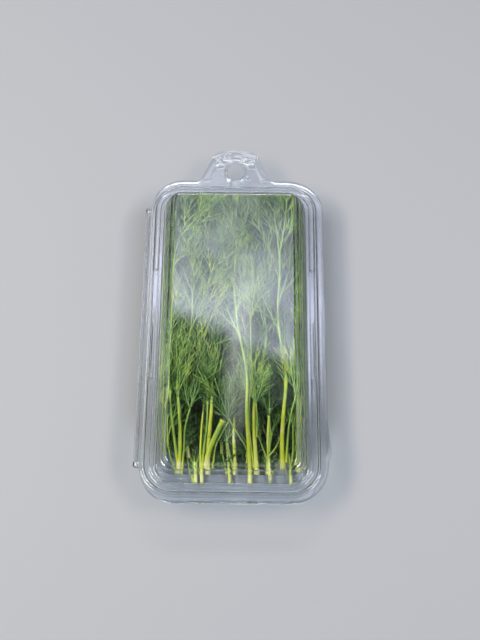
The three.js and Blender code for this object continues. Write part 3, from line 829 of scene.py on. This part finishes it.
def stem_leaves(number, row, rng):
    """A main stem's nodes, and the midribs of its leaves, which leave the nodes by turns to both sides."""
    cut_x, cut_y, layer, _, _, tip_y, _ = row
    first = LONG_BARE.get(number, NODE_FIRST - DEEP_BELOW["by"] * (layer <= DEEP_BELOW["layer"]))
    node_y = np.arange(max(first, cut_y + NODE_CLEAR), tip_y + 1, NODE_STEP)
    nodes = main_stem(row, node_y)
    ways = unit(main_stem(row, node_y + 1) - nodes)
    side = both_sides(len(node_y)) * (-1 if cut_x < 0 else 1)
    turns = side * np.radians(rng.uniform(*STEM_LEAF["turn"], len(node_y)))
    room = np.maximum(FAR_END - node_y, STEM_LEAF["least"])
    lengths = np.minimum(rng.uniform(*STEM_LEAF["length"], len(node_y)), room)
    rise = LEAF_RISE["least"] + LEAF_RISE["step"] * (LEAF_RISE["top"] - layer)
    lift = np.where(node_y > LEAF_RISE["past"], rise * (layer > LEAF_RISE["from"]),
                    LEAF_RISE["near"] * (layer > LEAF_RISE["near_from"]))
    return nodes, midribs(nodes, ways, lengths, turns, rng, lift)


def stalk_leaves(points, leaf_length, bare, rng):
    """Midribs of a stalk's leaves: some past its bare share, by turns to both sides, and a fan at its tip."""
    length = np.linalg.norm(np.diff(points, axis=0), axis=1).sum()
    count = int((1 - bare) * length / LEAF_GAP)
    tip = len(points) - 1
    along = (np.linspace(bare, 1, count, endpoint=False) * tip).astype(int)
    at = np.concatenate([along, [tip - 3] * len(FAN["turns"])])
    turns = np.concatenate([both_sides(count) * FAN["side_turn"], FAN["turns"]])
    turns = np.radians(rng.normal(turns, FAN["spread"]))
    lengths = leaf_length * np.concatenate([np.ones(count), FAN["shares"]])
    ways = unit(unit(points[np.minimum(at + 3, tip)] - points[at]) + (0, UPRIGHT, 0))
    starts = points[np.where(np.arange(len(at)) < count, at, tip)]
    lengths = np.minimum(lengths, np.maximum(FAR_END - starts[:, 1], FAN["least"]))
    return midribs(starts, ways, lengths, turns, rng)


def raised_path(path, layer, count):
    """A smooth path through points seen from above, at the height of its layer."""
    flat = through(np.array(path, float), count)
    return np.column_stack([flat, stem_height(layer, flat[:, 1])])


def sprig_parts(number, row, rng):
    """The meshes' parts of one sprig: its main stem, its other stalks, and the leaves of all of them."""
    cut_x, cut_y, layer, _, _, tip_y, radius = row
    nodes, bends = stem_leaves(number, row, rng)
    path = main_stem(row, np.linspace(cut_y, tip_y, STEM["points"]))
    parts = [cut_stalk(path, radius, radius * STEM["tip"], nodes, STEM["sides"], STEM["age"])]
    plain = [midribs(*base_leaves(row, rng), rng)] if cut_y < BASE_ROW else []
    dark = np.full(BASE_LEAF["count"] * len(plain), BASE_LEAF["dark"])
    for _, stalk_layer, thick, stalk_path, leaf_length, bare in (s for s in STALKS if s[0] == number):
        points = raised_path(stalk_path, stalk_layer, STALK["points"])
        young = np.interp(thick, *STALK_AGES)
        tip, old = ("tip", STALK_TIP_AGE) if leaf_length else ("cut_tip", young + STALK["cut_age"])
        parts.append(cut_stalk(points, thick, thick * STALK[tip], points[-1:], STALK["sides"], young, old))
        if leaf_length:
            bends = np.concatenate([bends, stalk_leaves(points, leaf_length, bare, rng)])
    shades = np.concatenate([np.zeros(len(bends)), dark])
    bends = np.concatenate([bends, *plain])
    faces = leaf_faces(len(bends), rng)
    shades = shades + rng.normal(0, LEAF_STRAY, len(bends))
    fine = layer <= FINE_LAYERS[0] or layer >= FINE_LAYERS[1]
    parts += leaves(bends, faces, shades, fine, rng)
    for wall_layer in WALL_LAYERS.get(number, ()):
        parts += wall_stalk(wall_layer, math.copysign(1, cut_x), rng)
    return parts


def base_leaves(row, rng):
    """Starts, ways, lengths and turns of the small leaves that fan out low down, near a stem's cut end."""
    count = BASE_LEAF["count"]
    starts = main_stem(row, row[1] + rng.uniform(*BASE_LEAF["start"], count))
    ways = np.tile((0, 1.0, BASE_LEAF["up"]), (count, 1))
    turns = both_sides(count) * np.radians(rng.uniform(*BASE_LEAF["turn"], count))
    return starts, ways, rng.uniform(*BASE_LEAF["length"], count), turns


def wall_stalk(layer, side, rng):
    """A thin stalk along a side wall, side being 1 or -1, with level leaves that reach the wall."""
    points = raised_path(np.array(WALL_PATH) * (side, 1), layer, WALL_STALK["points"])
    points += rng.uniform(-1, 1, 3) * WALL_STALK["stray"]
    at = np.arange(2, len(points) - 1, WALL_LEAF["every"])
    ways = unit(points[at + 1] - points[at])
    turns = np.radians(rng.normal(0, WALL_LEAF["turn"], len(at)))
    lengths = WALL_LEAF["length"] * rng.uniform(0.8, 1.2, len(at))
    lengths = np.minimum(lengths, np.maximum(FAR_END - points[at, 1], FAN["least"]))
    bends = midribs(points[at], ways, lengths, turns, rng)
    faces = leaf_faces(len(at), rng)
    # painted shade: the wall leaves are given darker tones
    shades = rng.normal(WALL_LEAF["dark"], 0.1, len(at))
    stalk = cut_stalk(points, WALL_STALK["radius"], WALL_STALK["tip"], points[-1:], WALL_STALK["sides"],
                      WALL_STALK["age"])
    return [stalk, *leaves(bends, faces, shades, False, rng)]


def make_dill(material):
    for number, row in enumerate(SPRIGS, start=1):
        rng = np.random.default_rng(SEED + number)
        vertices, triangles, ages = zip(*sprig_parts(number, row, rng))
        starts = np.cumsum([0, *map(len, vertices)])
        triangles = np.concatenate([part + start for part, start in zip(triangles, starts)])
        name = f"dill_sprig_{number:02d}"
        mesh = make_mesh(name, np.concatenate(vertices), [triangles], np.concatenate(ages))
        piece = add_piece(name, mesh, material)
        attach(piece, "base")
        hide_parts(f"sprig_{number:02d}")


# ---- Studio ----

CAMERA = {"target": (3.8, 7.4, 18.35), "distance": 688.8, "elevation": 63.5, "yaw": -0.6, "lens": 68.71}


def make_camera():
    data = bpy.data.cameras.new("camera")
    data.sensor_width = 36
    data.lens = CAMERA["lens"]
    data.clip_start, data.clip_end = 0.01, 20
    camera = add_object("camera", data)
    elevation, yaw = math.radians(CAMERA["elevation"]), math.radians(CAMERA["yaw"])
    forward = np.array([
        math.sin(yaw) * math.cos(elevation), math.cos(yaw) * math.cos(elevation), -math.sin(elevation)])
    camera.location = (np.array(CAMERA["target"]) - CAMERA["distance"] * forward) * MM
    camera.rotation_euler = (math.pi / 2 - elevation, 0, -yaw)
    bpy.context.scene.camera = camera


def area_light(name, place, target, width, length, power, tint, roll=0.0):
    """A soft box that faces its target and is rolled about the line to it, in metres, watts and degrees."""
    data = bpy.data.lights.new(name, "AREA")
    data.shape = "RECTANGLE"
    data.size, data.size_y = width, length
    data.energy = power
    data.color = colour(tint)[:3]
    lamp = add_object(name, data)
    lamp.location = place
    facing = (Vector(place) - Vector(target)).to_track_quat("Z", "Y")
    lamp.rotation_mode = "QUATERNION"
    lamp.rotation_quaternion = facing @ Quaternion((0, 0, 1), math.radians(roll))
    return data


def fall_off(tree, place):
    """A soft box that is dimmer towards the far end of its length, with a faint skirt past its near edge."""
    parts = add_node(tree, "SeparateXYZ", None, Vector=place)
    body = add_node(tree, "ValToRGB", None, Fac=parts.outputs["Y"])
    ramp_of(body, ((0.0, "#646464"), (0.3, "#747474"), (0.5, "#D0D0D0"), (0.7, "#FFFFFF"), (0.83, "#FFFFFF"),
                   (0.87, "#6C6C6C"), (0.94, "#505050"), (1.0, "#000000")))
    return body.outputs[0]


def fade_out(tree, place):
    """A soft box that fades from its middle to its edges."""
    away = add_node(tree, "VectorMath", {"operation": "DISTANCE"}, _0=place)
    away.inputs[1].default_value = (0.5, 0.5, 0.0)
    fade = add_node(tree, "MapRange", {
        "interpolation_type": "SMOOTHSTEP", "From Min": 0.1, "From Max": 0.5, "To Min": 1.0, "To Max": 0.0,
    }, Value=away.outputs["Value"])
    return fade.outputs[0]


def pattern_lamp(data, pattern, scale):
    """Gives a lamp a pattern, broken into brighter and darker patches, about as many across it as scale."""
    data.use_nodes = True
    tree = data.node_tree
    place = add_node(tree, "NewGeometry").outputs["Parametric"]
    strength = pattern(tree, place)
    clouds = add_node(tree, "TexNoise", {"Scale": scale, "Detail": 2.0}, Vector=place)
    patches = add_node(tree, "MapRange", {
        "From Min": 0.35, "From Max": 0.65, "To Min": 0.65, "To Max": 1.35,
    }, Value=clouds.outputs["Fac"])
    times = add_node(tree, "Math", {"operation": "MULTIPLY"}, _0=strength, _1=patches.outputs[0])
    emission = next(node for node in tree.nodes if node.type == "EMISSION")
    tree.links.new(times.outputs[0], emission.inputs["Strength"])


FLOOR = {"half": 3000, "level": -0.05}  # in millimetres, a little under the pack

# Each lamp: name, place, target, width, length, power, tint, and the roll of one that has it.
LAMPS = (
    ("soft_box_beyond", (0.058, 0.632, 1.03), (0.058, 0.632, 0), 0.5, 0.5, 2.65, "#E1E3FF", -25),
    ("soft_box_far", (0, 0.98, 0.92), (0, 0, 0.02), 0.6, 0.14, 4, "#F8FAFF"),
    ("soft_box_middle", (-0.001, 0.435, 1.0), (-0.001, 0.435, 0), 0.055, 0.36, 0.16, "#E8ECEA", -3),
    ("soft_box_far_left", (-0.55, 0.62, 1.0), (0, 0, 0.02), 0.5, 0.5, 1.4, "#FFFDF8"),
    ("soft_box_left", (-0.87, 0.25, 0.46), (0, 0.25, 0.02), 1.4, 0.1, 0.4, "#F4F7FF"),
    ("soft_box_right", (0.87, 0.25, 0.46), (0, 0.25, 0.02), 1.4, 0.1, 0.5, "#F4F7FF"),
    ("soft_box_right_near", (0.66, -0.14, 0.86), (0, 0, 0.02), 0.5, 0.24, 8, "#F4F7FF"),
    ("soft_box_near", (-0.68, -0.12, 0.86), (0, 0, 0), 0.6, 0.28, 12, "#FFFDF8"),
    ("soft_box_behind", (0, -0.64, 0.9), (0, 0, 0.02), 0.3, 0.1, 0.25, "#F4F7FF"),
)


def make_studio():
    """A pale floor under a dim grey surround. The lid's panel mirrors the large soft box beyond the tab as a
    pale veil, and the middle one as a narrow haze. The rest light the dill and draw lines along the folds."""
    material, tree = new_material("pale_matt_floor")
    floor_shader = add_node(tree, "BsdfPrincipled", {
        "Base Color": colour("#9FA0A3"), "Roughness": 0.85, "Specular IOR Level": 0.2})
    add_node(tree, "OutputMaterial", None, Surface=floor_shader.outputs[0])
    corners = FLOOR["half"] * np.array([[-1, -1, 0], [1, -1, 0], [1, 1, 0], [-1, 1, 0]])
    corners = corners + (0, 0, FLOOR["level"])
    floor = add_piece("floor", make_mesh("floor", corners, [np.array([[0, 1, 2, 3]])]), material)

    world = bpy.data.worlds.new("surround")
    bpy.context.scene.world = world
    world.use_nodes = True
    background = world.node_tree.nodes["Background"].inputs
    background["Color"].default_value = colour("#B9BDC4")
    background["Strength"].default_value = 0.07

    lamps = {lamp[0]: area_light(*lamp) for lamp in LAMPS}
    pattern_lamp(lamps["soft_box_beyond"], fall_off, 7.0)
    pattern_lamp(lamps["soft_box_middle"], fade_out, 5.0)
    bpy.context.scene.view_settings.view_transform = "Standard"


make_camera()
make_pack(formed_pet())
make_dill(fresh_dill())
make_studio()
